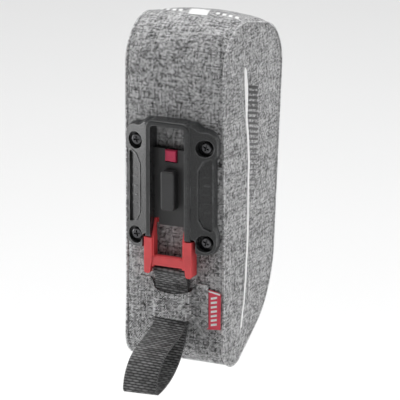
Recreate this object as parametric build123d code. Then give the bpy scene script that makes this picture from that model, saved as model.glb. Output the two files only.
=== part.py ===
from build123d import *
import math
import os

# Slim saddle bag that hangs from a quick-release adapter plate.
#
# Frame: +Z up, -Y is the side that faces the saddle's adapter, +X is the bag's side
# that shows the reflective stripe first. The origin is the middle of the adapter
# channel, on the channel's floor.
# "height" below is a distance out of the front fabric, towards -Y.
# On the sloping rear face, "up" runs along the face and "out" is away from the bag.

os.makedirs("parts", exist_ok=True)

# ---- driving dimensions (millimetres) ----
BAG_WIDTH = 71.0
HALF_WIDTH = BAG_WIDTH / 2
WALL = 2.0
HOUSING_HEIGHT = 4.0
FRONT_Y = HOUSING_HEIGHT

# side outline: four corners of a slanted box, in (depth, z), and their round radii
FRONT_FOOT = (0.0, -133.6)
REAR_FOOT = (76.5, -85.4)
REAR_TOP = (93.6, 97.8)
FRONT_TOP = (0.0, 118.3)
CORNER_RADII = (15.7, 62.0, 34.0, 31.0)

# quick-release plate
SCREW_X = 25.3
SCREW_Z = 32.3
RAIL_HEIGHT = 10.8
RAIL_INNER = 12.5
RAIL_OUTER = 16.6
RAIL_BOTTOM = -31.6
PLATE_TOP = 48.8
TOP_BAR = 3.8
PLATE_FOOT = -41.5
FLANGE_HIGH = 9.2
FLANGE_LOW = 2.8

# webbing
STRAP_WIDTH = 24.0
STRAP_THICKNESS = 1.3
PIN_HEIGHT = 5.2
PIN_Z = -54.4
FLAT_Z = -62.5
FLAT_HEIGHT = 0.8
EXIT_Z = -88.0
EXIT_HEIGHT = 3.2

# red release slider
SLIDER_FACE = 10.0
SLIDER_INNER = 11.5
SLIDER_OUTER = 17.3
SLIDER_FOOT = -56.6
PIN_RADIUS = 1.25

# springs behind the housing's face
SPRING_LOW = -19.4
SPRING_TOP = 14.3
SPRING_HEIGHT = 1.6

# rear zip, measured along the sloping rear face from the lid's hinge line
HINGE_Z = -37.5
ZIP_HALF = 24.0
ZIP_TOP = 98.0
ZIP_ROUND = 16.0
ZIP_FOOT = -17.0
SLIT = 1.2
TAPE = 6.0
FLAP_GAP = 0.3

REAR_TILT = math.atan2(REAR_TOP[0] - REAR_FOOT[0], REAR_TOP[1] - REAR_FOOT[1])


def save(shape, name):
    export_step(Compound(children=list(shape.solids())), f"parts/{name}.step")


def front_plane(height):
    return Plane(origin=(0, FRONT_Y - height, 0), x_dir=(1, 0, 0), z_dir=(0, -1, 0))


def raised(sketch, low, high, taper=0.0):
    """A sketch in (x, z), made solid between two heights over the front fabric."""
    return extrude(front_plane(low) * sketch, high - low, taper=taper)


def slab(x_low, x_high, low, high, z_low, z_high):
    """A block from its sides in x, height over the front fabric and z."""
    size = (x_high - x_low, high - low, z_high - z_low)
    middle = ((x_low + x_high) / 2, FRONT_Y - (low + high) / 2, (z_low + z_high) / 2)
    return Pos(*middle) * Box(*size)


def mirrored(shape):
    return shape + mirror(shape, Plane.YZ)


def side_plane(x):
    """Sketch plane in (depth, z), facing +X."""
    return Plane(origin=(x, FRONT_Y, 0), x_dir=(0, 1, 0), z_dir=(1, 0, 0))


def across(sketch, x_low, x_high):
    return extrude(side_plane(x_low) * sketch, x_high - x_low)


def rear_plane(out):
    hinge_depth = REAR_FOOT[0] + (HINGE_Z - REAR_FOOT[1]) * math.tan(REAR_TILT)
    normal = (0, math.cos(REAR_TILT), -math.sin(REAR_TILT))
    origin = Vector(0, FRONT_Y + hinge_depth, HINGE_Z) + Vector(*normal) * out
    return Plane(origin=origin, x_dir=(-1, 0, 0), z_dir=normal)


def on_rear(sketch, low, high):
    """A sketch in (-x, up) on the rear face, solid between two distances out."""
    return extrude(rear_plane(low) * sketch, high - low)


def rear_block(x_low, x_high, up_low, up_high, low, high):
    middle = Pos(-(x_low + x_high) / 2, (up_low + up_high) / 2)
    return on_rear(middle * Rectangle(x_high - x_low, up_high - up_low), low, high)


def outline(inset):
    """The bag's side outline, moved in by inset."""
    corners = [FRONT_FOOT, REAR_FOOT, REAR_TOP, FRONT_TOP]
    wire = Wire(FilletPolyline(*corners, radius=list(CORNER_RADII), close=True).edges())
    face = Face(wire)
    return offset(face, -inset) if inset else face


def zip_arch(margin, foot):
    """Upright arch on the rear face whose edge is margin outside the zip's slit."""
    half = ZIP_HALF + margin
    top = ZIP_TOP + margin
    arch = Pos(0, (foot + top) / 2) * Rectangle(2 * half, top - foot)
    corners = arch.vertices().sort_by(Axis.Y)[-2:]
    return fillet(corners, ZIP_ROUND + margin)


# ---------------------------------------------------------------- bag shell

def screw_places():
    return [(x, z) for x in (-SCREW_X, SCREW_X) for z in (-SCREW_Z, SCREW_Z)]


def screw_holes(radius, low, high):
    spots = Sketch() + [Pos(x, z) * Circle(radius) for x, z in screw_places()]
    return raised(spots, low, high)


def bag_band():
    inside = HALF_WIDTH - WALL
    band = across(outline(0) - outline(WALL), -inside, inside)
    opening = zip_arch(TAPE, ZIP_FOOT)
    tongue = Pos(0, ZIP_FOOT) * Rectangle(2 * (ZIP_HALF - TAPE), -2 * (ZIP_FOOT + FLAP_GAP))
    band -= on_rear(opening - tongue, -3 * WALL, 3 * WALL)
    return band - screw_holes(2.8, -2 * WALL, WALL)


def side_panel():
    return across(outline(0), HALF_WIDTH - WALL, HALF_WIDTH)


def seam_bead():
    lift = 0.8
    return across(outline(-lift) - outline(0), HALF_WIDTH - 1.6, HALF_WIDTH)


def front_board():
    thick = 2.0
    sheet = raised(Pos(0, -12) * RectangleRounded(62, 150, 10), -WALL - thick, -WALL)
    return sheet - screw_holes(2.8, -3 * WALL, WALL)


def tee_nuts():
    inner = -WALL - 2.0
    flange = 1.2
    nuts = screw_holes(5.5, inner - flange, inner) + screw_holes(2.7, inner, -0.1)
    return nuts - screw_holes(2.0, 2 * inner, WALL)


# ------------------------------------------------------------ adapter plate

def plate_outline():
    """Front view of the plate's foot, with a lobe round each screw."""
    right = [
        (18.0, PLATE_TOP - 0.5),
        (22.5, 44.5),
        (33.9, 44.5),
        (33.9, 27.5),
        (31.6, 23.5),
        (31.6, -21.5),
        (33.5, -25.5),
        (33.5, PLATE_FOOT),
        (SLIDER_OUTER + 0.5, PLATE_FOOT),
        (SLIDER_OUTER + 0.5, RAIL_BOTTOM),
    ]
    left = [(-x, z) for x, z in right]
    radii = [4.5, 3.5, 9.0, 4.0, 4.0, 4.0, 4.0, 9.0, 3.0, 1.0]
    loop = FilletPolyline(*(left + right[::-1]), radius=radii + radii[::-1], close=True)
    return Face(Wire(loop.edges()))


def flange_slope(shift):
    """Long wedge that falls from the rails to the plate's sides, raised by shift."""
    low, high = FLANGE_LOW + shift, FLANGE_HIGH + shift
    far = 36.0
    points = [(-far, -9), (far, -9), (far, low), (RAIL_OUTER, high), (-RAIL_OUTER, high), (-far, low)]
    from_top = Plane(origin=(0, FRONT_Y, 70), x_dir=(1, 0, 0), z_dir=(0, 0, -1))
    return extrude(from_top * make_face(Polyline(*points, close=True)), 130)


def rail_outline():
    tall = PLATE_TOP - RAIL_BOTTOM
    frame = Pos(0, RAIL_BOTTOM + tall / 2) * Rectangle(2 * RAIL_OUTER, tall)
    return fillet(frame.vertices().sort_by(Axis.Y)[-2:], 6.0)


def channel_outline():
    top = PLATE_TOP - TOP_BAR
    channel = Pos(0, (top - 60) / 2) * Rectangle(2 * RAIL_INNER, top + 60)
    return fillet(channel.vertices().sort_by(Axis.Y)[-2:], 2.5)


def flange_panels(margin):
    """Outline of the recesses in the two side flanges, grown by margin."""
    points = [(21.6, 17.0), (25.0, 23.2), (30.2, 25.4), (30.2, -24.4), (24.6, -21.8), (21.6, -16.0)]
    shape = make_face(Polyline(*points, close=True))
    shape = fillet(shape.vertices(), 1.2)
    shape = offset(shape, margin) if margin else shape
    return shape + mirror(shape, Plane.YZ)


def adapter_plate():
    panel_depth, rim_width, rim_lift = 1.3, 0.8, 0.45
    foot = raised(plate_outline(), 0, FLANGE_HIGH, taper=12) & flange_slope(0)
    sole = raised(plate_outline(), 0, 1.2)
    rails = raised(rail_outline(), 0, RAIL_HEIGHT, taper=2)
    rails = fillet(rails.faces().sort_by(Axis.Y)[0].edges(), 1.3)
    rim = flange_panels(rim_width) - flange_panels(0)
    plate = foot + sole + rails + (raised(rim, 0, 12) & flange_slope(rim_lift))
    plate -= raised(channel_outline(), -1, RAIL_HEIGHT + 1)
    plate -= raised(flange_panels(0), 0, 12) - flange_slope(-panel_depth)
    plate += flange_ribs(panel_depth)
    plate -= screw_holes(5.9, 1.8, 12)
    return plate - screw_holes(2.2, -1, 3)


def flange_ribs(panel_depth):
    """Short plain grip ribs, stood on end, on the floor of each flange's recess."""
    ribs = Part()
    for count in range(5):
        z = -11.0 + 6.0 * count
        ribs += slab(24.6, 28.4, 1.5, 9.0, z - 0.45, z + 0.45)
    return mirrored(ribs & flange_slope(0.35 - panel_depth))


def latch_housing():
    """Floor of the channel with a guide rib and two tunnels for the springs."""
    half = RAIL_INNER - 0.1
    low, high = -23.7, 28.4
    base = slab(-half, half, 0.1, HOUSING_HEIGHT, low, high)
    rib = raised(Pos(-0.2, 1.2) * RectangleRounded(10.2, 26.8, 2.2), HOUSING_HEIGHT, 10.1)
    rib = fillet(rib.faces().sort_by(Axis.Y)[0].edges(), 1.2)
    base += rib
    base -= slab(-4.6, 4.6, -1, 9, 19.5, 40)
    tunnel = slab(5.9, 9.7, -1, SPRING_HEIGHT + 1.5, low - 1, SPRING_TOP + 0.2)
    notch = slab(9.2, half + 1, -1, HOUSING_HEIGHT + 1, low - 1, SPRING_LOW + 0.2)
    return base - mirrored(tunnel + notch)


def pan_head_screw(x, z):
    head_radius = 3.9
    head = raised(Circle(head_radius), 1.9, 4.3)
    head = fillet(head.faces().sort_by(Axis.Y)[0].edges(), 1.1)
    shank = raised(Circle(1.95), -6.5, 1.9)
    cross = slab(-2.2, 2.2, 2.7, 6, -0.5, 0.5) + slab(-0.5, 0.5, 2.7, 6, -2.2, 2.2)
    turn = 22 if x > 0 else -12
    return Pos(x, 0, z) * Rot(0, turn, 0) * (head + shank - cross)


def plate_screws():
    return Part() + [pan_head_screw(x, z) for x, z in screw_places()]


# --------------------------------------------------------- release mechanism

def release_slider():
    """Two legs that run up between the rails, a crossbar, and two lugs for the pin."""
    leg_outer = RAIL_INNER - 0.35
    floor = HOUSING_HEIGHT + 0.4
    leg_low = SLIDER_FOOT + 5
    leg_points = [(-19.8, floor), (leg_low, floor), (leg_low, SLIDER_FACE - 0.5), (-31.0, 9.0)]
    leg_face = make_face(Polyline(*[(-height, z) for z, height in leg_points], close=True))
    leg = across(leg_face, leg_outer - 1.7, leg_outer)
    leg += slab(leg_outer - 1.7, leg_outer, 1.0, floor, -22.6, -19.8)
    hook = slab(6.3, leg_outer, 1.0, SPRING_HEIGHT + 1.2, -22.6, -19.8)
    side_points = [
        (SLIDER_INNER, -44.6),
        (SLIDER_INNER, RAIL_BOTTOM - 0.4),
        (SLIDER_OUTER, RAIL_BOTTOM - 0.4),
        (SLIDER_OUTER, SLIDER_FOOT),
        (SLIDER_INNER + 1.6, SLIDER_FOOT),
        (SLIDER_INNER + 0.9, -51.0),
    ]
    block = raised(make_face(Polyline(*side_points, close=True)), 1.6, SLIDER_FACE)
    block = fillet(block.edges().filter_by(Axis.Y).sort_by(Axis.Z)[:2], 1.6)
    crossbar = slab(-SLIDER_INNER - 0.5, SLIDER_INNER + 0.5, 5.8, SLIDER_FACE - 0.6, -51.0, -44.0)
    crossbar = fillet(crossbar.faces().sort_by(Axis.Y)[0].edges().filter_by(Axis.X), 1.4)
    gussets = inside_corner(2.6)
    body = mirrored(leg + block + hook + gussets) + crossbar
    return body - strap_pin_solid(PIN_RADIUS + 0.03)


def inside_corner(radius):
    """Rounded web in the corner between a leg and the crossbar's upper edge."""
    x_low, z_low = SLIDER_INNER + 0.1 - radius, -44.1
    corner = Pos(x_low + radius / 2, z_low + radius / 2) * Rectangle(radius, radius)
    web = raised(corner, 5.8, SLIDER_FACE - 0.6)
    return web - raised(Pos(x_low, z_low + radius) * Circle(radius), 5, SLIDER_FACE)


def strap_pin_solid(radius):
    return Pos(0, FRONT_Y - PIN_HEIGHT, PIN_Z) * Rot(0, 90, 0) * Cylinder(radius, 30.0)


def slider_springs():
    """Two compression springs, drawn as sleeves over their whole coil."""
    wire, coil_radius = 0.45, 1.2
    length = SPRING_TOP - SPRING_LOW
    tube = Cylinder(coil_radius, length) - Cylinder(coil_radius - 2 * wire, length)
    return mirrored(Pos(7.8, FRONT_Y - SPRING_HEIGHT, (SPRING_LOW + SPRING_TOP) / 2) * tube)


def catch():
    block = slab(-4.1, 4.1, 2.4, 5.6, 20.3, 28.0)
    return fillet(block.faces().sort_by(Axis.Y)[0].edges(), 0.9)


def catch_leaf_spring():
    return slab(-3, 3, 2.0, 2.4, 20.6, 27.6)


# ------------------------------------------------------------------- webbing

def strap_run():
    """Doubled webbing round the pin, then flat behind the keeper."""
    outer = PIN_RADIUS + STRAP_THICKNESS
    flat_high, exit_high = FLAT_HEIGHT + 2 * STRAP_THICKNESS, EXIT_HEIGHT + 2 * STRAP_THICKNESS
    wedge_points = [
        (-(PIN_HEIGHT + outer), PIN_Z),
        (-flat_high, FLAT_Z),
        (-exit_high, EXIT_Z),
        (-EXIT_HEIGHT, EXIT_Z),
        (-FLAT_HEIGHT, FLAT_Z + 0.4),
        (-(PIN_HEIGHT - outer), PIN_Z),
    ]
    side = make_face(Polyline(*wedge_points, close=True))
    side += Pos(-PIN_HEIGHT, PIN_Z) * Circle(outer)
    side -= Pos(-PIN_HEIGHT, PIN_Z) * Circle(PIN_RADIUS + 0.05)
    return across(side, -STRAP_WIDTH / 2, STRAP_WIDTH / 2)


def strap_loop():
    """Hanging pull loop below the keeper, a drop shape seen from the side."""
    exit_high = EXIT_HEIGHT + 2 * STRAP_THICKNESS
    corners = [
        (-exit_high, EXIT_Z),
        (-20, -98.0),
        (-34, -101),
        (-43.5, -111),
        (-47.0, -129),
        (-25, -126.5),
        (-9, -113),
        (-EXIT_HEIGHT, EXIT_Z),
    ]
    radii = [0, 22, 14, 20, 2.2, 20, 24, 0]
    loop = Face(Wire(FilletPolyline(*corners, radius=radii, close=True).edges()))
    inner = offset(loop, -STRAP_THICKNESS)
    return across(loop - inner, -STRAP_WIDTH / 2, STRAP_WIDTH / 2)


def strap_bartack():
    """Two rows of box stitching that close the doubled webbing."""
    top = FLAT_HEIGHT + 2 * STRAP_THICKNESS + 0.4
    return slab(-10.5, 10.5, top, top + 0.25, -66.4, -65.4) + slab(-10.5, 10.5, top, top + 0.25, -64.6, -63.6)


def keeper_band():
    """Fabric bridge: a raised middle over the strap and two sewn wings."""
    thick = 1.2
    side_in = 13.4
    top_height, low_height = 4.6, 6.6
    wing_out, wing_top, wing_low = 25.5, -62.0, -92.0
    mid_top, mid_low = -69.6, -87.3
    middle_points = [
        (-top_height, mid_top),
        (-top_height - thick, mid_top),
        (-low_height - thick, mid_low),
        (-low_height, mid_low),
    ]
    middle = across(make_face(Polyline(*middle_points, close=True)), -side_in - thick, side_in + thick)
    wall_points = [(0, mid_top), (-top_height - thick, mid_top), (-low_height - thick, mid_low), (0, mid_low)]
    wall = across(make_face(Polyline(*wall_points, close=True)), side_in, side_in + thick)
    wing_points = [
        (side_in + thick, mid_top),
        (17.4, wing_top),
        (wing_out, wing_top),
        (wing_out, wing_low),
        (18.0, wing_low),
        (side_in + thick, mid_low),
    ]
    wing = raised(make_face(Polyline(*wing_points, close=True)), 0, thick)
    return middle + mirrored(wall + wing)


def keeper_stitching():
    """Two upright rows of stitches on each wing."""
    top = 1.2
    rows = Part()
    for x in (19.6, 23.6):
        for count in range(10):
            z = -65.0 - 2.7 * count
            rows += slab(x - 0.3, x + 0.3, top, top + 0.3, z - 0.9, z + 0.9)
    return mirrored(rows)


def side_tag():
    points = [(25.6, -65.6), (33.2, -66.8), (33.8, -69.0), (33.8, -92.5), (25.6, -92.5)]
    return raised(make_face(Polyline(*points, close=True)), 0.1, 0.8)


# ------------------------------------------------------------------- prints

def stripe():
    """Reflective stripe on the right panel, a lance that thins towards the foot."""
    centre = [(33.6, 80.0), (34.6, 50.0), (36.6, 0.0), (34.4, -53.0), (25.6, -99.5)]
    left_edge = Spline(*centre)
    widths = [(33.6, 80.0), (37.6, 68.0), (37.0, 50.0), (38.6, 0.0), (36.2, -53.0), (25.6, -99.5)]
    right_edge = Spline(*widths)
    face = Face(Wire([left_edge.edge(), right_edge.edge()]))
    return across(face, HALF_WIDTH, HALF_WIDTH + 0.2)


def fade_bars():
    """Bars behind the stripe, thick at the top and thin at the foot."""
    count = 22
    pitch = 3.55
    slope = 0.29
    bars = Part()
    for step in range(count):
        faded = step / (count - 1)
        half = 1.05 - 0.75 * faded
        start = 39.6
        end = 54.0 - 4.0 * faded * faded
        z = 65.5 - pitch * step
        drop = slope * (end - start)
        corners = [(start, z - half), (end, z - drop - half), (end, z - drop + half), (start, z + half)]
        bars += across(make_face(Polyline(*corners, close=True)), HALF_WIDTH, HALF_WIDTH + 0.2)
    return bars


def top_reflector():
    """Plain reflective patch on the sloping top."""
    top_slope = (REAR_TOP[1] - FRONT_TOP[1]) / REAR_TOP[0]
    depth_low, depth_high = 31.0, 44.0
    sheet = [(depth, FRONT_TOP[1] + top_slope * depth) for depth in (depth_low, depth_high)]
    lifted = [(depth, z + 0.3) for depth, z in reversed(sheet)]
    return across(make_face(Polyline(*(sheet + lifted), close=True)), -9.0, 9.0)


# --------------------------------------------------------------- lid and zip

def lid_panel():
    return on_rear(zip_arch(-TAPE, FLAP_GAP), -WALL, 0)


def lid_board():
    return on_rear(zip_arch(-TAPE - 2.0, 4.0), -WALL - 1.2, -WALL)


def lid_hinge_strip():
    return rear_block(-16, 16, -9.0, -0.6, -WALL - 0.6, -WALL)


def zip_tape_lid():
    return on_rear(zip_arch(-SLIT / 2, FLAP_GAP) - zip_arch(-TAPE, FLAP_GAP), -1.4, -0.4)


def zip_tape_bag():
    ring = on_rear(zip_arch(TAPE, ZIP_FOOT) - zip_arch(SLIT / 2, ZIP_FOOT), -1.4, -0.4)
    short = rear_block(ZIP_HALF - TAPE, ZIP_HALF - SLIT / 2, ZIP_FOOT, -FLAP_GAP, -1.4, -0.4)
    return ring + mirrored(short)


def zip_coil_lid():
    coil = 2.0
    return on_rear(zip_arch(-SLIT / 2, FLAP_GAP) - zip_arch(-SLIT / 2 - coil, FLAP_GAP), -3.2, -1.4)


def zip_coil_bag():
    coil = 2.0
    return on_rear(zip_arch(SLIT / 2 + coil, FLAP_GAP) - zip_arch(SLIT / 2, FLAP_GAP), -3.2, -1.4)


def zip_stops():
    stop = rear_block(ZIP_HALF - 3.0, ZIP_HALF + 3.0, ZIP_FOOT + 0.4, ZIP_FOOT + 2.2, -0.4, 0.8)
    return mirrored(stop)


SLIDER_UP = -8.5


def zip_slider():
    """Zip slider: a face plate, a thin neck through the slit and a back plate."""
    plate = Pos(-ZIP_HALF, SLIDER_UP) * RectangleRounded(8.2, 10.5, 2.4)
    face = on_rear(plate, 0.3, 1.9)
    neck = rear_block(ZIP_HALF - 0.28, ZIP_HALF + 0.28, SLIDER_UP - 2, SLIDER_UP + 3, -3.9, 0.3)
    back = on_rear(plate, -5.2, -3.9)
    lug = rear_block(ZIP_HALF + 2.3, ZIP_HALF + 3.4, SLIDER_UP + 1.4, SLIDER_UP + 4.6, 1.9, 4.3)
    other_lug = rear_block(ZIP_HALF - 3.4, ZIP_HALF - 2.3, SLIDER_UP + 1.4, SLIDER_UP + 4.6, 1.9, 4.3)
    return face + neck + back + lug + other_lug - pin_along_x(0.72)


def pin_along_x(radius):
    spot = rear_plane(3.2).from_local_coords(Vector(-ZIP_HALF, SLIDER_UP + 3.0, 0))
    return Pos(spot) * Rot(0, 90, 0) * Cylinder(radius, 7.2)


def zip_puller():
    """Flat metal tab with an eye round the pin."""
    pivot = SLIDER_UP + 3.0
    eye = pin_along_x(1.25) & rear_block(ZIP_HALF - 1.9, ZIP_HALF + 1.9, -30, 30, -10, 20)
    neck = rear_block(ZIP_HALF - 1.9, ZIP_HALF + 1.9, pivot - 6.0, pivot, 2.5, 3.9)
    tab = Pos(-ZIP_HALF, pivot - 11.0) * RectangleRounded(6.4, 12.0, 2.0)
    return eye + neck + on_rear(tab, 2.5, 3.9) - pin_along_x(1.0)


def puller_grip():
    """Moulded grip over the tab's lower end."""
    pivot = SLIDER_UP + 3.0
    shape = Pos(-ZIP_HALF, pivot - 21.5) * RectangleRounded(8.0, 19.0, 3.0)
    grip = fillet(on_rear(shape, 2.3, 5.1).faces().sort_by(Axis.Y)[-1].edges(), 0.8)
    return grip - zip_puller()


PARTS = {
    "bag_band": bag_band,
    "side_panel_right": side_panel,
    "seam_bead_right": seam_bead,
    "front_board": front_board,
    "tee_nuts": tee_nuts,
    "adapter_plate": adapter_plate,
    "latch_housing": latch_housing,
    "plate_screws": plate_screws,
    "release_slider": release_slider,
    "slider_springs": slider_springs,
    "catch": catch,
    "catch_leaf_spring": catch_leaf_spring,
    "strap_run": strap_run,
    "strap_loop": strap_loop,
    "strap_bartack": strap_bartack,
    "keeper_band": keeper_band,
    "keeper_stitching": keeper_stitching,
    "side_tag": side_tag,
    "stripe_right": stripe,
    "fade_bars_right": fade_bars,
    "top_reflector": top_reflector,
    "lid_panel": lid_panel,
    "lid_board": lid_board,
    "lid_hinge_strip": lid_hinge_strip,
    "zip_tape_lid": zip_tape_lid,
    "zip_tape_bag": zip_tape_bag,
    "zip_coil_lid": zip_coil_lid,
    "zip_coil_bag": zip_coil_bag,
    "zip_stops": zip_stops,
    "zip_slider": zip_slider,
    "zip_puller": zip_puller,
    "puller_grip": puller_grip,
}

for part_name, make in PARTS.items():
    solid = make()
    save(solid, part_name)
    if part_name.endswith("_right"):
        save(mirror(solid, Plane.YZ), part_name.replace("_right", "_left"))

save(strap_pin_solid(1.25), "strap_pin")
save(pin_along_x(0.7), "puller_pin")
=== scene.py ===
import bmesh
import bpy
import math
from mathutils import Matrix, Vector, noise
from mathutils.bvhtree import BVHTree


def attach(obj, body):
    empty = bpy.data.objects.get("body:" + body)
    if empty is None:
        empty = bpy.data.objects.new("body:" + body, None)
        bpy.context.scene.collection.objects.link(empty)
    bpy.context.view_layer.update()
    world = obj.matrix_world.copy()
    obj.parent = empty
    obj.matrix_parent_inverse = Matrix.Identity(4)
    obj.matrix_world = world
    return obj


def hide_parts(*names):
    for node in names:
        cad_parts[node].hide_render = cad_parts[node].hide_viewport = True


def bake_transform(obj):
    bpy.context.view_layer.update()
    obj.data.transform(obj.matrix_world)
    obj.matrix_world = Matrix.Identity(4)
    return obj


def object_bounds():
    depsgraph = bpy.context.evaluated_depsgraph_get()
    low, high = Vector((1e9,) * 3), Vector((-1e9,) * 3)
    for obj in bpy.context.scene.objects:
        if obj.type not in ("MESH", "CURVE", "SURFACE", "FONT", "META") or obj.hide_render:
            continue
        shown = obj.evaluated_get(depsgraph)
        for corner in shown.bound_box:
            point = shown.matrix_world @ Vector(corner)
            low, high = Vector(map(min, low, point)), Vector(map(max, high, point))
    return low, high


# Saddle bag with quick-release plate: the looks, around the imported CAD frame.
# Lengths in the mesh code are millimetres and become metres in mesh_object(); the floor,
# the lights and the camera are placed in metres.
# "height" is the distance out of the front fabric, towards -Y; "up" and "out" are
# measured on the sloping rear face, from the lid's hinge line.

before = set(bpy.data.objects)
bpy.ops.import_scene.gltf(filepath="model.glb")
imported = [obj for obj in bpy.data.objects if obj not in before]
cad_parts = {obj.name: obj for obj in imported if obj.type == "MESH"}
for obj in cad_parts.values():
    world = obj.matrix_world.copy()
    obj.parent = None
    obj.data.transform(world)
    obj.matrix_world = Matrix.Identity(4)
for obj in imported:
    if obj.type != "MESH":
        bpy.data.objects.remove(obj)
cad_bounds = [list(corner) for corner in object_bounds()]

MM = 0.001

# ---- places shared with the CAD model ----
HALF_WIDTH = 35.5
FRONT_Y = 4.0
FRONT_FOOT = (0.0, -133.6)
REAR_FOOT = (76.5, -85.4)
REAR_TOP = (93.6, 97.8)
FRONT_TOP = (0.0, 118.3)
CORNER_RADII = (15.7, 62.0, 34.0, 31.0)
HINGE_Z = -37.5
ZIP_HALF = 24.0
ZIP_TOP = 98.0
ZIP_ROUND = 16.0
ZIP_FOOT = -17.0
TAPE = 6.0
REAR_TILT = math.atan2(REAR_TOP[0] - REAR_FOOT[0], REAR_TOP[1] - REAR_FOOT[1])
HINGE_DEPTH = REAR_FOOT[0] + (HINGE_Z - REAR_FOOT[1]) * math.tan(REAR_TILT)

# ---- soft shapes ----
WALL = 2.0
TOP_CROWN = 3.6
FOOT_CROWN = 0.4
EDGE_ROLL = 1.8
SIDE_PILLOW = 1.2
BAND_WRINKLE = 0.55
SIDE_WRINKLE = 0.7
FOLD_Z = 83.0
SEAM_GAP = 0.3
STITCH_PITCH = 2.9


# ==== mesh helpers ====

def mesh_object(name, verts, faces, uvs=None):
    """Makes a smooth object from millimetre vertices; uvs has one millimetre (u, v) per vertex."""
    mesh = bpy.data.meshes.new(name)
    mesh.from_pydata([Vector(v) * MM for v in verts], [], faces)
    if uvs:
        layer = mesh.uv_layers.new(name="weave")
        for loop in mesh.loops:
            layer.data[loop.index].uv = Vector(uvs[loop.vertex_index]) * MM
    mesh.polygons.foreach_set("use_smooth", [True] * len(mesh.polygons))
    obj = bpy.data.objects.new(name, mesh)
    bpy.context.scene.collection.objects.link(obj)
    return obj


def apply_modifiers(obj):
    """Replaces the mesh by the one that the modifiers give."""
    bpy.context.view_layer.update()
    evaluated = obj.evaluated_get(bpy.context.evaluated_depsgraph_get())
    mesh = bpy.data.meshes.new_from_object(evaluated)
    obj.modifiers.clear()
    obj.data = mesh


def clean(obj, merge=0.001):
    """Merges doubled points and makes the faces point outwards."""
    work = bmesh.new()
    work.from_mesh(obj.data)
    bmesh.ops.remove_doubles(work, verts=work.verts, dist=merge * MM)
    bmesh.ops.dissolve_degenerate(work, edges=work.edges, dist=0.5 * merge * MM)
    bmesh.ops.recalc_face_normals(work, faces=work.faces)
    work.to_mesh(obj.data)
    work.free()


def thicken(obj, thickness, offset=-1.0):
    """Gives a sheet its thickness, inwards unless the offset says otherwise."""
    solid = obj.modifiers.new("wall", "SOLIDIFY")
    solid.thickness = thickness * MM
    solid.offset = offset
    solid.use_even_offset = True
    apply_modifiers(obj)


def bevel(obj, width, angle):
    """Rounds the edges that are sharper than the angle."""
    edge = obj.modifiers.new("edge", "BEVEL")
    edge.width = width * MM
    edge.segments = 2
    edge.limit_method = "ANGLE"
    edge.angle_limit = math.radians(angle)
    apply_modifiers(obj)


def sharpen(obj, angle):
    """Smooth shading with creases where faces meet at more than the angle."""
    work = bmesh.new()
    work.from_mesh(obj.data)
    for edge in work.edges:
        if len(edge.link_faces) == 2:
            edge.smooth = edge.calc_face_angle(0) < math.radians(angle)
    work.to_mesh(obj.data)
    work.free()
    obj.data.polygons.foreach_set("use_smooth", [True] * len(obj.data.polygons))


def grid_faces(rows, columns, close_rows=False, close_columns=False):
    """Four-sided faces between the points of a grid, which may close on itself."""
    faces = []
    for r in range(rows if close_rows else rows - 1):
        for c in range(columns if close_columns else columns - 1):
            r2, c2 = (r + 1) % rows, (c + 1) % columns
            faces.append((r * columns + c, r * columns + c2, r2 * columns + c2, r2 * columns + c))
    return faces


def face_towards(sheet, direction):
    """Turns a sheet's faces to the side that the direction points to."""
    middle = sheet.data.polygons[len(sheet.data.polygons) // 2]
    if middle.normal.dot(Vector(direction)) < 0:
        sheet.data.flip_normals()


def grid_sheet(name, columns, rows, place):
    """A sheet of points; place gives each one's position and (u, v) from its two shares."""
    verts, uvs = [], []
    for column in range(columns):
        for row in range(rows):
            point, uv = place(column / (columns - 1), row / (rows - 1))
            verts.append(point)
            uvs.append(uv)
    sheet = mesh_object(name, verts, grid_faces(columns, rows), uvs)
    clean(sheet)
    return sheet


def tube_mesh(name, path, frames, section, closed=False, pulse=None):
    """Sweeps a closed section along a path; frames gives two side vectors a point.

    pulse, if given, scales the section's second axis with the length run so far.
    """
    verts, uvs = [], []
    run = 0.0
    size = len(section)
    around = sum((Vector(section[k]) - Vector(section[k - 1])).length for k in range(size))
    for index, (point, (side, up)) in enumerate(zip(path, frames)):
        if index:
            run += (Vector(point) - Vector(path[index - 1])).length
        scale = pulse(run) if pulse else 1.0
        for k, (a, b) in enumerate(section):
            verts.append(Vector(point) + Vector(side) * a + Vector(up) * b * scale)
            uvs.append((around * k / size, run))
    faces = grid_faces(len(path), size, close_rows=closed, close_columns=True)
    if not closed:
        faces.append(tuple(reversed(range(size))))
        faces.append(tuple(range((len(path) - 1) * size, len(path) * size)))
    return mesh_object(name, verts, faces, uvs)


def round_section(half_a, half_b, corners):
    """Oval section."""
    return [
        (half_a * math.cos(2 * math.pi * k / corners), half_b * math.sin(2 * math.pi * k / corners))
        for k in range(corners)
    ]


def slab_section(half_a, half_b, edge):
    """Flat section with rounded edges, longer along the first axis."""
    points = []
    for corner in range(4):
        sign_a = 1 if corner in (0, 3) else -1
        sign_b = 1 if corner in (0, 1) else -1
        for step in range(3):
            turn = math.radians(90 * corner + 45 * step)
            points.append((
                sign_a * (half_a - edge) + edge * math.cos(turn),
                sign_b * (half_b - edge) + edge * math.sin(turn),
            ))
    return points


def smooth_path(points, spacing, closed=False):
    """Even points along a curve through the given ones (Catmull-Rom)."""
    pts = [Vector(p) for p in points]
    count = len(pts)
    fine = []
    for i in range(count if closed else count - 1):
        a = pts[i - 1] if closed or i else pts[0]
        b, c = pts[i], pts[(i + 1) % count]
        d = pts[(i + 2) % count] if closed or i + 2 < count else pts[-1]
        for step in range(20):
            t = step / 20
            fine.append(0.5 * (2 * b + (c - a) * t + (2 * a - 5 * b + 4 * c - d) * t * t
                               + (3 * b - a - 3 * c + d) * t ** 3))
    if not closed:
        fine.append(pts[-1])
    return resample(fine, spacing, closed)


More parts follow.
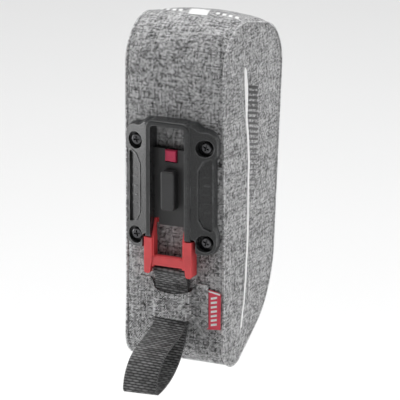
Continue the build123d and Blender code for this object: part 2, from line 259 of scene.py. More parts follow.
def resample(fine, spacing, closed=False):
    """Points at even distances along a line of closer ones."""
    loop = fine + [fine[0]] if closed else fine
    lengths = [0.0]
    for a, b in zip(loop, loop[1:]):
        lengths.append(lengths[-1] + (b - a).length)
    total = lengths[-1]
    steps = max(2, round(total / spacing))
    result = []
    k = 0
    for i in range(steps if closed else steps + 1):
        want = total * i / steps
        while k < len(lengths) - 2 and lengths[k + 1] < want:
            k += 1
        span = max(lengths[k + 1] - lengths[k], 1e-9)
        result.append(loop[k].lerp(loop[k + 1], (want - lengths[k]) / span))
    return result


def smooth_step(low, high, value):
    """0 at low, 1 at high, with a soft start and end; low may be the larger."""
    t = min(max((value - low) / (high - low), 0.0), 1.0)
    return t * t * (3 - 2 * t)


def stitch_line(name, points, normals, pitch, length, radius, lift):
    """A row of sewn stitches: short thread arcs that dip into the fabric at both ends."""
    rings, sides = 5, 6
    verts, faces, uvs = [], [], []
    run = resample([Vector(p) for p in points], pitch)
    for index in range(len(run) - 1):
        start = run[index]
        along = (run[index + 1] - start).normalized()
        near = min(range(len(points)), key=lambda k: (Vector(points[k]) - start).length_squared)
        out = Vector(normals[near]).normalized()
        side = along.cross(out).normalized()
        for ring in range(rings):
            t = ring / (rings - 1)
            arc = math.sin(math.pi * t)
            centre = start + along * length * (t - 0.5) + out * (lift + 0.3 * arc - 0.2)
            thick = radius * (0.55 + 0.45 * arc)
            for k in range(sides):
                turn = 2 * math.pi * k / sides
                verts.append(centre + side * thick * math.cos(turn) + out * thick * math.sin(turn))
                uvs.append((k, t * length))
        base = len(verts) - rings * sides
        for face in grid_faces(rings, sides, close_columns=True):
            faces.append(tuple(base + v for v in face))
        faces.append(tuple(base + k for k in reversed(range(sides))))
        faces.append(tuple(base + (rings - 1) * sides + k for k in range(sides)))
    return mesh_object(name, verts, faces, uvs)


def join(name, objects):
    """One object from several."""
    work = bmesh.new()
    for obj in objects:
        work.from_mesh(obj.data)
    mesh = bpy.data.meshes.new(name)
    work.to_mesh(mesh)
    work.free()
    for obj in objects:
        bpy.data.objects.remove(obj)
    mesh.polygons.foreach_set("use_smooth", [True] * len(mesh.polygons))
    result = bpy.data.objects.new(name, mesh)
    bpy.context.scene.collection.objects.link(result)
    return result


# ==== materials ====

WEAVE_MM = (1000.0, 1000.0, 1.0)
OBJECT_MM = (1000.0, 1000.0, 1000.0)
RIB_PITCH = 1.8


class Shader:
    """A small builder for one procedural material."""

    def __init__(self, name):
        self.material = bpy.data.materials.new(name)
        self.material.use_nodes = True
        self.tree = self.material.node_tree
        self.bsdf = self.tree.nodes["Principled BSDF"]

    def node(self, kind, settings=None, **inputs):
        made = self.tree.nodes.new(kind)
        for key, value in (settings or {}).items():
            setattr(made, key, value)
        for key, value in inputs.items():
            socket = made.inputs[int(key[1:])] if key[1:].isdigit() else made.inputs[key]
            self.give(socket, value)
        return made

    def give(self, socket, value):
        if hasattr(value, "is_output"):
            self.tree.links.new(value, socket)
        else:
            socket.default_value = value

    def weave_coordinates(self, scale=WEAVE_MM):
        """Millimetres along the cloth, from the piece's own UV map."""
        uv = self.node("ShaderNodeUVMap", {"uv_map": "weave"})
        mapping = self.node("ShaderNodeMapping", Vector=uv.outputs[0], Scale=scale)
        return mapping.outputs[0]

    def object_coordinates(self, scale=OBJECT_MM):
        """Millimetres in the object's frame."""
        place = self.node("ShaderNodeTexCoord")
        mapping = self.node("ShaderNodeMapping", Vector=place.outputs["Object"], Scale=scale)
        return mapping.outputs[0]

    def noise(self, vector, scale, detail=2.0, rough=0.5):
        made = self.node("ShaderNodeTexNoise", Vector=vector, Scale=scale, Detail=detail, Roughness=rough)
        return made.outputs["Fac"]

    def math(self, operation, a, b=0.0, clamp=False):
        made = self.node("ShaderNodeMath", {"operation": operation, "use_clamp": clamp}, _0=a, _1=b)
        return made.outputs[0]

    def ramp(self, value, low, high, out_low=0.0, out_high=1.0):
        made = self.node(
            "ShaderNodeMapRange", {"clamp": True}, _0=value, _1=low, _2=high, _3=out_low, _4=out_high
        )
        return made.outputs[0]

    def mix(self, factor, a, b):
        made = self.node("ShaderNodeMix", {"data_type": "RGBA"})
        self.give(made.inputs[0], factor)
        self.give(made.inputs[6], a)
        self.give(made.inputs[7], b)
        return made.outputs[2]

    def waves(self, vector, axis, pitch):
        """A smooth 0 to 1 ripple along one axis of a millimetre vector."""
        parts = self.node("ShaderNodeSeparateXYZ", Vector=vector)
        turn = self.math("MULTIPLY", parts.outputs[axis], 2 * math.pi / pitch)
        sine = self.math("SINE", turn)
        halved = self.math("MULTIPLY", sine, 0.5)
        return self.math("ADD", halved, 0.5)

    def yarn(self, number, along, seed):
        """Tone of one thread, from its number and the distance along it: long and short slubs."""
        tone = None
        for stretch, share in ((0.10, 0.48), (0.45, 0.52)):
            place = self.node(
                "ShaderNodeCombineXYZ",
                _0=self.math("MULTIPLY", number, seed),
                _1=self.math("MULTIPLY", along, stretch),
                _2=seed + stretch,
            )
            slub = self.ramp(self.noise(place.outputs[0], 1.0, 0.0, 0.5), 0.25, 0.75)
            part = self.math("MULTIPLY", slub, share)
            tone = part if tone is None else self.math("ADD", tone, part)
        return tone

    def thread_dome(self, position):
        """Rounded height across one thread: 0 at its edges and 1 on its middle."""
        return self.math("SINE", self.math("MULTIPLY", self.math("FRACT", position), math.pi))

    def bump(self, height, distance, strength=1.0):
        made = self.node("ShaderNodeBump", Height=height, Distance=distance * MM, Strength=strength)
        self.give(self.bsdf.inputs["Normal"], made.outputs[0])

    def finish(self, color, roughness, **constants):
        self.give(self.bsdf.inputs["Base Color"], color)
        self.give(self.bsdf.inputs["Roughness"], roughness)
        for key, value in constants.items():
            self.bsdf.inputs[key.replace("_", " ")].default_value = value
        return self.material


def grey(value):
    return (value, value, value * 1.01, 1.0)


def rgba(color, factor=1.0):
    return (*[c * factor for c in color], 1.0)


def heather_fabric(name, dark, light):
    """Plain weave of mottled yarns: light warp over dark weft at every other crossing, with painted shade
    in the gaps between threads.
    """
    pitch = 0.85
    yarn_share, speck_share = 0.85, 0.55
    weft_level, warp_level = -0.78, -0.47
    s = Shader(name)
    threads = s.weave_coordinates((1000.0 / pitch, 1000.0 / pitch, 1.0))
    parts = s.node("ShaderNodeSeparateXYZ", Vector=threads)
    across, along = parts.outputs[0], parts.outputs[1]
    warp_number, weft_number = s.math("FLOOR", across), s.math("FLOOR", along)
    yarns = s.math("ADD", s.yarn(warp_number, along, 3.7), s.yarn(weft_number, across, 61.3))
    parity = s.math("FLOORED_MODULO", s.math("ADD", warp_number, weft_number), 2.0)
    cell = s.node("ShaderNodeCombineXYZ", _0=warp_number, _1=weft_number)
    speck = s.node("ShaderNodeTexWhiteNoise", {"noise_dimensions": "2D"}, Vector=cell.outputs[0])
    mottle = s.math("MULTIPLY", yarns, yarn_share)
    mottle = s.math("ADD", mottle, s.math("MULTIPLY", speck.outputs[0], speck_share))
    tone = s.math("ADD", mottle, s.ramp(parity, 0.0, 1.0, weft_level, warp_level), clamp=True)
    # Painted shade: the colour darkens in the gaps between threads and lightens a little on their crowns.
    dome = s.math("MULTIPLY", s.thread_dome(across), s.thread_dome(along))
    thread_gap_shade = s.ramp(dome, 0.0, 0.8, 0.55, 1.10)
    plain = s.mix(tone, grey(dark), grey(light))
    scaled = s.node("ShaderNodeVectorMath", {"operation": "SCALE"}, Vector=plain, Scale=thread_gap_shade)
    s.bump(dome, 0.14, 0.8)
    rough = s.ramp(tone, 0.2, 0.8, 0.8, 0.6)
    return s.finish(scaled.outputs[0], rough, Sheen_Weight=0.1, Sheen_Roughness=0.5)


def webbing_material(name, dark, light):
    """Black polyester webbing: twill ribs across it, with a painted highlight that lightens their crests.
    """
    thread, slant = 0.8, 0.11
    s = Shader(name)
    mm = s.weave_coordinates()
    parts = s.node("ShaderNodeSeparateXYZ", Vector=mm)
    across, along = parts.outputs[0], parts.outputs[1]
    rib_place = s.math("ADD", s.math("MULTIPLY", along, 1 / RIB_PITCH), s.math("MULTIPLY", across, slant))
    rib = s.thread_dome(rib_place)
    rib_number = s.math("FLOOR", rib_place)
    shifted = s.math("ADD", s.math("MULTIPLY", across, 1 / thread), s.math("MULTIPLY", rib_number, 0.5))
    bead = s.thread_dome(shifted)
    cell = s.node("ShaderNodeCombineXYZ", _0=s.math("FLOOR", shifted), _1=rib_number)
    speck = s.node("ShaderNodeTexWhiteNoise", {"noise_dimensions": "2D"}, Vector=cell.outputs[0])
    glint = speck.outputs[0]
    height = s.math("MULTIPLY", s.math("POWER", rib, 0.7), s.ramp(bead, 0.0, 1.0, 0.6, 1.0))
    # Painted highlight: rib crests are lightened in random cells, standing in for glints of light.
    painted_highlight = s.math("MULTIPLY", s.ramp(height, 0.35, 0.95), s.ramp(glint, 0.0, 1.0, 0.35, 1.0))
    s.bump(height, 0.3, 1.0)
    rough = s.ramp(glint, 0.0, 1.0, 0.75, 0.5)
    tone = s.mix(painted_highlight, grey(dark), grey(light))
    return s.finish(tone, rough, Sheen_Weight=0.15, Sheen_Roughness=0.4)


def moulded_plastic(name, color, roughness, grain=0.04, painted_highlight=0.35):
    """Injection-moulded plastic: fine spark-eroded grain; its edges carry a painted highlight and are a
    little smoother.
    """
    edge_radius, variation = 1.1 * MM, 0.12
    s = Shader(name)
    place = s.object_coordinates()
    fine = s.noise(place, 2.6, 2.0, 0.6)
    broad = s.noise(place, 0.09, 3.0, 0.55)
    geometry = s.node("ShaderNodeNewGeometry")
    rounded = s.node("ShaderNodeBevel", {"samples": 6}, Radius=edge_radius)
    turn = s.node(
        "ShaderNodeVectorMath",
        {"operation": "DOT_PRODUCT"},
        _0=rounded.outputs[0],
        _1=geometry.outputs["Normal"],
    )
    # Painted highlight: the colour is lightened along the edges that the bevel finds, and the roughness
    # drops a little there.
    edge = s.ramp(turn.outputs["Value"], 0.99, 0.90)
    edge_highlight_and_smoothing = s.math("MULTIPLY", edge, s.ramp(broad, 0.42, 0.62, 0.3, 1.0), clamp=True)
    lighter = (*[min(1.0, c * (1 + painted_highlight) + 0.02 * painted_highlight) for c in color], 1.0)
    cloudy = s.mix(s.ramp(broad, 0.35, 0.65), rgba(color, 1 - variation), rgba(color))
    s.bump(fine, grain, 0.5)
    rough = s.math("ADD", s.ramp(fine, 0.3, 0.7, roughness - 0.05, roughness + 0.06),
                   s.math("MULTIPLY", edge_highlight_and_smoothing, -0.08))
    return s.finish(s.mix(edge_highlight_and_smoothing, cloudy, lighter), rough)


def fading_print(name, dark, pale):
    """Flexible ink on the weave, darkest at the top of the side and paler lower down."""
    s = Shader(name)
    place = s.object_coordinates()
    height = s.node("ShaderNodeSeparateXYZ", Vector=place).outputs[2]
    strength = s.math("POWER", s.ramp(height, -20.0, 68.0), 2.0)
    patchy = s.ramp(s.noise(place, 0.9, 2.0, 0.6), 0.35, 0.7, 0.0, 0.35)
    cover = s.math("SUBTRACT", strength, patchy, clamp=True)
    s.bump(s.noise(place, 1.1, 1.0, 0.5), 0.08, 0.6)
    return s.finish(s.mix(cover, grey(pale), grey(dark)), s.ramp(patchy, 0.0, 0.35, 0.55, 0.75))


def metal_material(name, color, roughness):
    """Drawn or turned metal with fine scratches across it."""
    s = Shader(name)
    place = s.object_coordinates()
    brushed = s.node("ShaderNodeMapping", Vector=place, Scale=(0.4, 4.0, 4.0)).outputs[0]
    scratch = s.noise(brushed, 1.2, 2.0, 0.6)
    broad = s.noise(place, 0.6, 2.0, 0.5)
    tone = s.mix(s.ramp(broad, 0.35, 0.65), rgba(color, 0.8), rgba(color))
    s.bump(scratch, 0.02, 0.4)
    return s.finish(tone, s.ramp(scratch, 0.3, 0.7, roughness - 0.06, roughness + 0.1), Metallic=1.0)


def thread_material(name, dark, light):
    """Twisted sewing thread."""
    s = Shader(name)
    mm = s.weave_coordinates()
    twist = s.noise(mm, 2.5, 1.0, 0.5)
    s.bump(twist, 0.1, 0.8)
    return s.finish(s.mix(s.ramp(twist, 0.35, 0.65), grey(dark), grey(light)), 0.7, Sheen_Weight=0.2)


def label_material(name, color):
    """Woven label: satin threads across with a fine grid."""
    s = Shader(name)
    mm = s.weave_coordinates()
    across = s.waves(mm, 1, 0.5)
    along = s.waves(mm, 0, 0.6)
    fibre = s.noise(mm, 1.6, 2.0, 0.6)
    height = s.math("ADD", s.math("MULTIPLY", across, 0.6), s.math("MULTIPLY", along, 0.4))
    grain = s.math("ADD", s.math("MULTIPLY", height, 0.5), s.math("MULTIPLY", fibre, 0.5))
    tone = s.mix(s.ramp(grain, 0.3, 0.7), rgba(color, 0.72), rgba(color))
    s.bump(height, 0.08, 0.8)
    return s.finish(tone, s.ramp(fibre, 0.3, 0.7, 0.5, 0.7), Sheen_Weight=0.3)


def film_material(name, color, roughness, thin):
    """Printed or welded film that shows the weave below it, darker where it is thin."""
    weave_pitch = 0.84
    s = Shader(name)
    mm = s.weave_coordinates()
    weave = s.math("MULTIPLY", s.waves(mm, 0, weave_pitch), s.waves(mm, 1, weave_pitch))
    patch = s.noise(mm, 0.9, 2.0, 0.7)
    tone = s.mix(s.ramp(patch, 0.35, 0.65), rgba(color, 1 - thin), rgba(color))
    s.bump(weave, 0.05, 0.6)
    return s.finish(tone, s.ramp(patch, 0.3, 0.7, roughness - 0.08, roughness + 0.08))


FABRIC = heather_fabric("bag_fabric", 0.035, 0.76)
# Lighter copy of the bag fabric for the seam beads: a painted highlight along the seams.
SEAM_HIGHLIGHT = heather_fabric("seam_fabric", 0.24, 0.95)
WEBBING = webbing_material("webbing", 0.004, 0.27)
PLATE = moulded_plastic("plate_plastic", (0.04, 0.041, 0.042), 0.27, 0.03, 2.4)
HOUSING = moulded_plastic("housing_plastic", (0.043, 0.043, 0.044), 0.42)
RED = moulded_plastic("release_red", (0.74, 0.072, 0.08), 0.45, 0.03, 0.25)
CATCH_RED = moulded_plastic("catch_red", (0.62, 0.03, 0.10), 0.42, 0.03, 0.25)
SCREW = metal_material("screw_steel", (0.12, 0.12, 0.125), 0.3)
SPRING = metal_material("spring_steel", (0.55, 0.55, 0.56), 0.28)
THREAD = thread_material("thread", 0.16, 0.50)
THREAD_BLACK = thread_material("thread_black", 0.01, 0.06)
TAG = label_material("tag_red", (0.78, 0.045, 0.09))
TAG_WHITE = label_material("tag_white", (0.95, 0.94, 0.94))
REFLECTIVE = film_material("reflective", (0.97, 0.97, 0.97), 0.35, 0.06)
PRINT = fading_print("print_grey", 0.035, 0.15)
ZIP_TAPE = film_material("zip_tape", (0.035, 0.035, 0.037), 0.38, 0.25)
COIL = moulded_plastic("zip_coil", (0.04, 0.04, 0.042), 0.35, 0.02)
ZIP_METAL = metal_material("zip_metal", (0.13, 0.13, 0.135), 0.3)
GRIP = moulded_plastic("grip_plastic", (0.035, 0.035, 0.037), 0.55, 0.08)
BOARD = moulded_plastic("board", (0.09, 0.09, 0.095), 0.5, 0.06)


def dress(obj, material, body, slot, *nodes):
    """Gives a new piece its material and body, and hides the CAD nodes that it stands for; slot is not
    used.
    """
    obj.data.materials.clear()
    obj.data.materials.append(material)
    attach(obj, body)
    if nodes:
        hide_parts(*nodes)
    return obj


# ==== bag outline ====

def bag_outline(spacing=2.0):
    """Points (depth, z, normal depth, normal z) round the bag's side view."""
    corners = [Vector(c) for c in (FRONT_FOOT, REAR_FOOT, REAR_TOP, FRONT_TOP)]
    arcs = []
    for index, radius in enumerate(CORNER_RADII):
        corner = corners[index]
        back = (corners[index - 1] - corner).normalized()
        ahead = (corners[(index + 1) % 4] - corner).normalized()
        half = back.angle(ahead) / 2
        reach = radius / math.tan(half)
        centre = corner + (back + ahead).normalized() * radius / math.sin(half)
        arcs.append((corner + back * reach, corner + ahead * reach, centre, radius))
    points = []
    for index, (start, end, centre, radius) in enumerate(arcs):
        angle_start = math.atan2(*(start - centre).yx)
        angle_end = math.atan2(*(end - centre).yx)
        if angle_end < angle_start:
            angle_end += 2 * math.pi
        steps = max(4, round(radius * (angle_end - angle_start) / spacing))
        for step in range(steps):
            turn = angle_start + (angle_end - angle_start) * step / steps
            normal = Vector((math.cos(turn), math.sin(turn)))
            points.append((*(centre + normal * radius), *normal))
        following = arcs[(index + 1) % 4][0]
        run = following - end
        normal = Vector((run.y, -run.x)).normalized()
        steps = max(2, round(run.length / spacing))
        for step in range(steps):
            points.append((*(end + run * step / steps), *normal))
    return points


OUTLINE = bag_outline()


def crown_at(depth, z):
    """How far the top bulges between the side seams, most above the middle."""
    behind = 1 - 0.22 * smooth_step(48, 74, depth)
    top = TOP_CROWN * smooth_step(58, 100, z) * smooth_step(22, 50, depth) * behind
    return top + FOOT_CROWN * smooth_step(-100, -118, z)


def seam_inset(z):
    """How far the seams lie inside the bag's full outline; less round the foot."""
    return EDGE_ROLL * (1 - 0.9 * smooth_step(-70, -108, z))


def rolled(x, z):
    """How far the band curls back towards its seams at the bag's edges."""
    return seam_inset(z) * min(1.0, abs(x) / (HALF_WIDTH - SEAM_GAP)) ** 10


def fold_at(depth, z):
    """Groove across the front where the stiff part ends and the top begins to bend."""
    deepest, half_width = 0.5, 1.7
    return deepest * math.exp(-((z - FOLD_Z) / half_width) ** 2) if depth < 8 else 0.0


def rumple(point, amount):
    """Gentle unevenness of a laminated fabric wall."""
    broad = noise.noise(Vector(point) * 0.035)
    fine = noise.noise(Vector(point) * 0.11 + Vector((9.0, 4.0, 2.0)))
    return amount * (broad + 0.35 * fine)


def flat_zone(depth, z):
    """0 where a hard part lies on the fabric, 1 elsewhere."""
    behind_plate = 1 - smooth_step(50, 68, z) if depth < 6 else 0.0
    near_zip = 1 - smooth_step(64, 84, z) if depth > 60 else 0.0
    low = smooth_step(-97, -110, z)
    return max(low, 1 - max(behind_plate, near_zip))


def bag_band():
    """Front, top, rear and foot in one crowned band between the two side seams."""
    columns = 41
    verts, uvs = [], []
    run = 0.0
    count = len(OUTLINE)
    for index, (depth, z, nd, nz) in enumerate(OUTLINE + OUTLINE[:1]):
        if index:
            last = OUTLINE[index - 1]
            run += math.hypot(depth - last[0], z - last[1])
        for column in range(columns):
            across = math.sin(math.pi / 2 * (2 * column / (columns - 1) - 1))
            x = across * (HALF_WIDTH - SEAM_GAP)
            lift = crown_at(depth, z) * (1 - across * across)
            lift += rumple((x, depth, z), BAND_WRINKLE) * flat_zone(depth, z) * (1 - across ** 4)
            lift -= fold_at(depth, z) + rolled(x, z)
            verts.append((x, FRONT_Y + depth + nd * lift, z + nz * lift))
            uvs.append((x, run))
    band = mesh_object("bag_shell", verts, grid_faces(count + 1, columns), uvs)
    clean(band, 0.01)
    thicken(band, WALL)
    return band


def rear_point(x, up, out):
    """A place on the sloping rear face."""
    depth = HINGE_DEPTH + up * math.sin(REAR_TILT) + out * math.cos(REAR_TILT)
    z = HINGE_Z + up * math.cos(REAR_TILT) - out * math.sin(REAR_TILT)
    return Vector((x, FRONT_Y + depth, z))


REAR_UP = (rear_point(0, 1, 0) - rear_point(0, 0, 0)).normalized()
REAR_OUT = (rear_point(0, 0, 1) - rear_point(0, 0, 0)).normalized()


def arch_path(margin, foot, spacing=2.0):
    """Points (x, up) and outward directions along the zip's arch, left foot to right."""
    half, top, radius = ZIP_HALF + margin, ZIP_TOP + margin, ZIP_ROUND + margin
    points = []
    leg = top - radius - foot
    steps = max(2, round(leg / spacing))
    for step in range(steps):
        points.append((-half, foot + leg * step / steps, -1.0, 0.0))
    for centre_x, start in ((-half + radius, 180), (half - radius, 90)):
        turns = max(6, round(radius * math.pi / 2 / spacing))
        for step in range(turns + 1):
            turn = math.radians(start - 90 * step / turns)
            c, s = math.cos(turn), math.sin(turn)
            points.append((centre_x + radius * c, top - radius + radius * s, c, s))
    for step in range(1, steps + 1):
        points.append((half, top - radius - leg * step / steps, 1.0, 0.0))
    return points


def cut_zip_opening(band):
    """Cuts the arch for the zip out of the rear wall, leaving the tongue below the lid."""
    overlap, reach = 0.4, 9
    rim = [(x, up) for x, up, _, _ in arch_path(TAPE - overlap, ZIP_FOOT)]
    inner = ZIP_HALF - TAPE + overlap
    rim += [(inner, ZIP_FOOT), (inner, -0.3), (-inner, -0.3), (-inner, ZIP_FOOT)]
    count = len(rim)
    verts = [rear_point(x, up, out) for out in (-reach, reach) for x, up in rim]
    faces = [(k, (k + 1) % count, count + (k + 1) % count, count + k) for k in range(count)]
    faces += [tuple(reversed(range(count))), tuple(range(count, 2 * count))]
    cutter = mesh_object("cutter", verts, faces)
    clean(cutter)
    cut = band.modifiers.new("opening", "BOOLEAN")
    cut.object = cutter
    cut.operation = "DIFFERENCE"
    cut.solver = "EXACT"
    apply_modifiers(band)
    bpy.data.objects.remove(cutter)


def side_panel(name, sign):
    """Pillowed side wall: rings that shrink from the seam to a spine down the middle."""
    rings = 22
    spine_top, spine_low = Vector((46.0, 66.0)), Vector((34.0, -88.0))
    spine = spine_top - spine_low
    verts, uvs = [], []
    for ring in range(rings + 1):
        t = (ring / rings) ** 1.15
        for depth, z, nd, nz in OUTLINE:
            edge = Vector((depth - nd * seam_inset(z), z - nz * seam_inset(z)))
            share = min(max((edge - spine_low).dot(spine) / spine.length_squared, 0.0), 1.0)
            spot = edge.lerp(spine_low + spine * share, t)
            pillow = SIDE_PILLOW * (1 - (1 - t) ** 2.6)
            ripple = rumple((sign * 60, spot.x, spot.y), SIDE_WRINKLE) * smooth_step(0.0, 0.35, t)
            x = sign * (HALF_WIDTH - 0.1 + pillow + ripple)
            verts.append((x, FRONT_Y + spot.x, spot.y))
            uvs.append((spot.x, spot.y))
    panel = mesh_object(name, verts, grid_faces(rings + 1, len(OUTLINE), close_columns=True), uvs)
    clean(panel, 0.2)
    face_towards(panel, (sign, 0, 0))
    thicken(panel, WALL)
    return panel


def pucker(run):
    """Swelling of the seam between its stitches."""
    return 1.0 + 0.13 * math.sin(2 * math.pi * run / STITCH_PITCH)


def seam_bead(name, sign):
    """Welded and top-stitched seam round a side panel, puckered at each stitch."""
    path, frames = [], []
    for depth, z, nd, nz in bag_outline(0.75):
        proud = 0.3 - seam_inset(z)
        path.append(Vector((sign * (HALF_WIDTH - 0.1), FRONT_Y + depth + nd * proud, z + nz * proud)))
        frames.append((Vector((1, 0, 0)), Vector((0, nd, nz))))
    return tube_mesh(name, path, frames, round_section(0.95, 0.72, 12), closed=True, pulse=pucker)


shell = bag_band()
cut_zip_opening(shell)
sharpen(shell, 50)
dress(shell, FABRIC, "bag", "bag_fabric", "bag_band")
panels = {}
for side, sign in (("right", 1), ("left", -1)):
    panels[side] = side_panel(f"side_wall_{side}", sign)
    dress(panels[side], FABRIC, "bag", "bag_fabric", f"side_panel_{side}")
    seam = seam_bead(f"side_seam_{side}", sign)
    dress(seam, SEAM_HIGHLIGHT, "bag", "seam_fabric", f"seam_bead_{side}")


# ==== prints and film ====

def surface_tree(obj):
    """The piece's surface, for laying films on it."""
    mesh = obj.data
    return BVHTree.FromPolygons([v.co for v in mesh.vertices], [p.vertices[:] for p in mesh.polygons])


def on_side(tree, sign, depth, z, lift):
    """The place on a side wall at this depth and height, lifted off it."""
    start = Vector((sign * 100, FRONT_Y + depth, z)) * MM
    hit = tree.ray_cast(start, Vector((-sign, 0, 0)))[0]
    return Vector((hit.x / MM + sign * lift, FRONT_Y + depth, z))


def draped_strip(name, tree, sign, left, right, lift, columns=4):
    """A thin film between two edge lines of (depth, z), laid on a side wall."""
    def place(along, across):
        index = round(along * (len(left) - 1))
        spot = Vector(left[index]).lerp(Vector(right[index]), across)
        return on_side(tree, sign, spot.x, spot.y, lift), (spot.x, spot.y)

    strip = grid_sheet(name, len(left), columns + 1, place)
    face_towards(strip, (sign, 0, 0))
    thicken(strip, FILM)
    return strip


FILM = 0.16
STRIPE_LINE = [(30.3, 80.0), (31.2, 66.5), (33.2, 50.6), (35.4, 20.0),
               (36.0, -13.0), (33.2, -53.0), (28.5, -84.5), (25.2, -98.8)]
STRIPE_WIDTH = [(80.5, 0.1), (78.0, 3.4), (68.0, 5.4), (58.0, 4.2), (46.0, 3.0),
                (0.0, 2.6), (-50.0, 2.6), (-90.0, 2.4), (-98.0, 2.0), (-98.8, 0.5)]


def width_at(z):
    """The stripe's width at this height."""
    for (z_high, w_high), (z_low, w_low) in zip(STRIPE_WIDTH, STRIPE_WIDTH[1:]):
        if z >= z_low:
            return w_low + (w_high - w_low) * (z - z_low) / (z_high - z_low)
    return STRIPE_WIDTH[-1][1]


def side_stripe(name, tree, sign):
    """Reflective lance, fuller behind its centre line at the top."""
    line = smooth_path([(d, z, 0.0) for d, z in STRIPE_LINE], 1.5)
    left = [(p.x - 0.35 * width_at(p.y), p.y) for p in line]
    right = [(p.x + 0.65 * width_at(p.y), p.y) for p in line]
    return draped_strip(name, tree, sign, left, right, lift=0.16)


def side_bars(name, tree, sign):
    """Printed bars behind the stripe, thick and dark at the top, thin at the foot."""
    count, pitch, slope = 22, 3.55, 0.27
    bars = []
    for step in range(count):
        faded = step / (count - 1)
        half = 1.05 - 0.72 * faded
        start = 36.0 + 1.4 * faded
        end = 50.4 + 1.6 * math.sin(math.pi * faded) - 4.4 * faded ** 2
        top = 65.4 - pitch * step
        line = [start + (end - start) * k / 8 for k in range(9)]
        upper = [(d, top - slope * (d - start) + half) for d in line]
        lower = [(d, top - slope * (d - start) - half) for d in line]
        bars.append(draped_strip(f"bar_{step}", tree, sign, upper, lower, columns=2, lift=0.10))
    return join(name, bars)


for side, sign in (("right", 1), ("left", -1)):
    tree = surface_tree(panels[side])
    stripe = side_stripe(f"reflective_stripe_{side}", tree, sign)
    dress(stripe, REFLECTIVE, "bag", "reflective", f"stripe_{side}")
    bars = side_bars(f"printed_bars_{side}", tree, sign)
    dress(bars, PRINT, "bag", "print_grey", f"fade_bars_{side}")


def top_patch(name, tree, x_low, x_high, depth_low, depth_high, skew):
    """Plain reflective parallelogram laid on the crowned top."""
    lift, above = Vector((0, 0, 0.14)), 200

    def place(back, across):
        depth = depth_low + (depth_high - depth_low) * back
        x = x_low + (x_high - x_low) * across + skew * (back - 0.5)
        start = Vector((x, FRONT_Y + depth, above)) * MM
        return tree.ray_cast(start, Vector((0, 0, -1)))[0] / MM + lift, (x, depth)

    patch = grid_sheet(name, 9, 9, place)
    thicken(patch, FILM)
    return patch


shell_tree = surface_tree(shell)
patches = [top_patch("patch", shell_tree, -7.0, 7.0, 30.5, 44.5, -4.5)]
for count in range(4):
    for x in (-28.5 + 4.6 * count, 12.5 + 4.6 * count):
        patches.append(top_patch("dash", shell_tree, x, x + 2.6, 34.5, 40.5, -2.0))
dress(join("top_reflector_film", patches), REFLECTIVE, "bag", "reflective", "top_reflector")


# ==== webbing ====

STRAP_HALF = 11.8
PIN_HEIGHT, PIN_Z, PIN_RADIUS = 5.2, -54.4, 1.25


def strap_line():
    """Closed side view of the pull strap as (height, z), from the pin round the loop."""
    wrap = PIN_RADIUS + 0.68
    around = []
    for step in range(12):
        turn = math.radians(-20 + 190 * step / 11)
        around.append((PIN_HEIGHT + wrap * math.cos(turn), PIN_Z + wrap * math.sin(turn)))
    back_run = [(2.6, -57.6), (1.5, -62.6), (2.2, -70.0), (3.0, -79.0), (3.8, -87.0)]
    back_loop = [(4.6, -95.0), (7.0, -104.0), (11.0, -112.0), (17.0, -118.4),
                 (25.0, -123.4), (33.5, -126.2), (40.5, -127.5)]
    fold = [(43.8, -127.6), (45.4, -126.2), (45.6, -123.0)]
    front_loop = [(43.8, -115.0), (39.0, -107.0), (31.0, -101.6),
                  (21.0, -98.2), (11.5, -94.6), (6.8, -90.6)]
    front_run = [(5.2, -86.6), (4.4, -79.0), (3.5, -70.0), (3.1, -64.6), (4.3, -60.4), (6.1, -57.2)]
    corners = around + back_run + back_loop + fold + front_loop + front_run
    return smooth_path([(h, z, 0.0) for h, z in corners], 0.24, closed=True)


def ribs(run):
    """Swelling of the webbing at each of its ribs."""
    return 1.0 + 0.2 * math.sin(2 * math.pi * run / RIB_PITCH)


def strap_ribbon():
    """One ribbed ribbon; below the keeper it swings a little to the left and twists."""
    swing, turned = -2.6, math.radians(-6.0)
    section = slab_section(STRAP_HALF, 0.58, 0.4)
    line = strap_line()
    path, frames = [], []
    for index, point in enumerate(line):
        ahead = (line[(index + 1) % len(line)] - line[index - 1]).normalized()
        hang = smooth_step(-86.0, -126.0, point.y)
        twist = turned * hang
        side = Vector((math.cos(twist), -math.sin(twist), 0))
        out = Vector((0, -1, 0)) * -ahead.y + Vector((0, 0, 1)) * ahead.x
        path.append(Vector((swing * hang, FRONT_Y - point.x, point.y)))
        frames.append((side, out))
    strap = tube_mesh("pull_strap", path, frames, section, closed=True, pulse=ribs)
    clean(strap)
    return strap


dress(strap_ribbon(), WEBBING, "release", "webbing", "strap_run", "strap_loop")


KEEPER_HALF, KEEPER_MOUTH = 25.5, 13.0
KEEPER_TOP, KEEPER_LOW = -69.4, -87.2


def keeper_edges(reach):
    """Upper and lower edge: a shallow hang over the strap, then ramps out to the wings."""
    low = KEEPER_LOW - 4.8 * smooth_step(KEEPER_MOUTH, 17.8, reach)
    if reach < KEEPER_MOUTH:
        return KEEPER_TOP - 1.0 + 2.6 * (reach / KEEPER_MOUTH) ** 2, low
    return KEEPER_TOP + 1.6 + 5.8 * smooth_step(KEEPER_MOUTH, 17.2, reach), low


def keeper():
    """Fabric bridge over the strap, its two wings sewn to the front."""
    def place(across, up):
        x = KEEPER_HALF * (2 * across - 1)
        bridge = 1 - smooth_step(10.6, 15.6, abs(x))
        top, low = keeper_edges(abs(x))
        z = low + (top - low) * up
        lift = 0.7 + bridge * (4.4 + 2.3 * (KEEPER_TOP - z) / (KEEPER_TOP - KEEPER_LOW))
        lift -= 0.25 * abs(2 * up - 1) ** 8
        return (x, FRONT_Y - lift - rumple((x, 50, z), 0.15), z), (x, z)

    band = grid_sheet("strap_keeper", 97, 41, place)
    thicken(band, 1.1, offset=0.0)
    bevel(band, 0.35, 60)
    return band


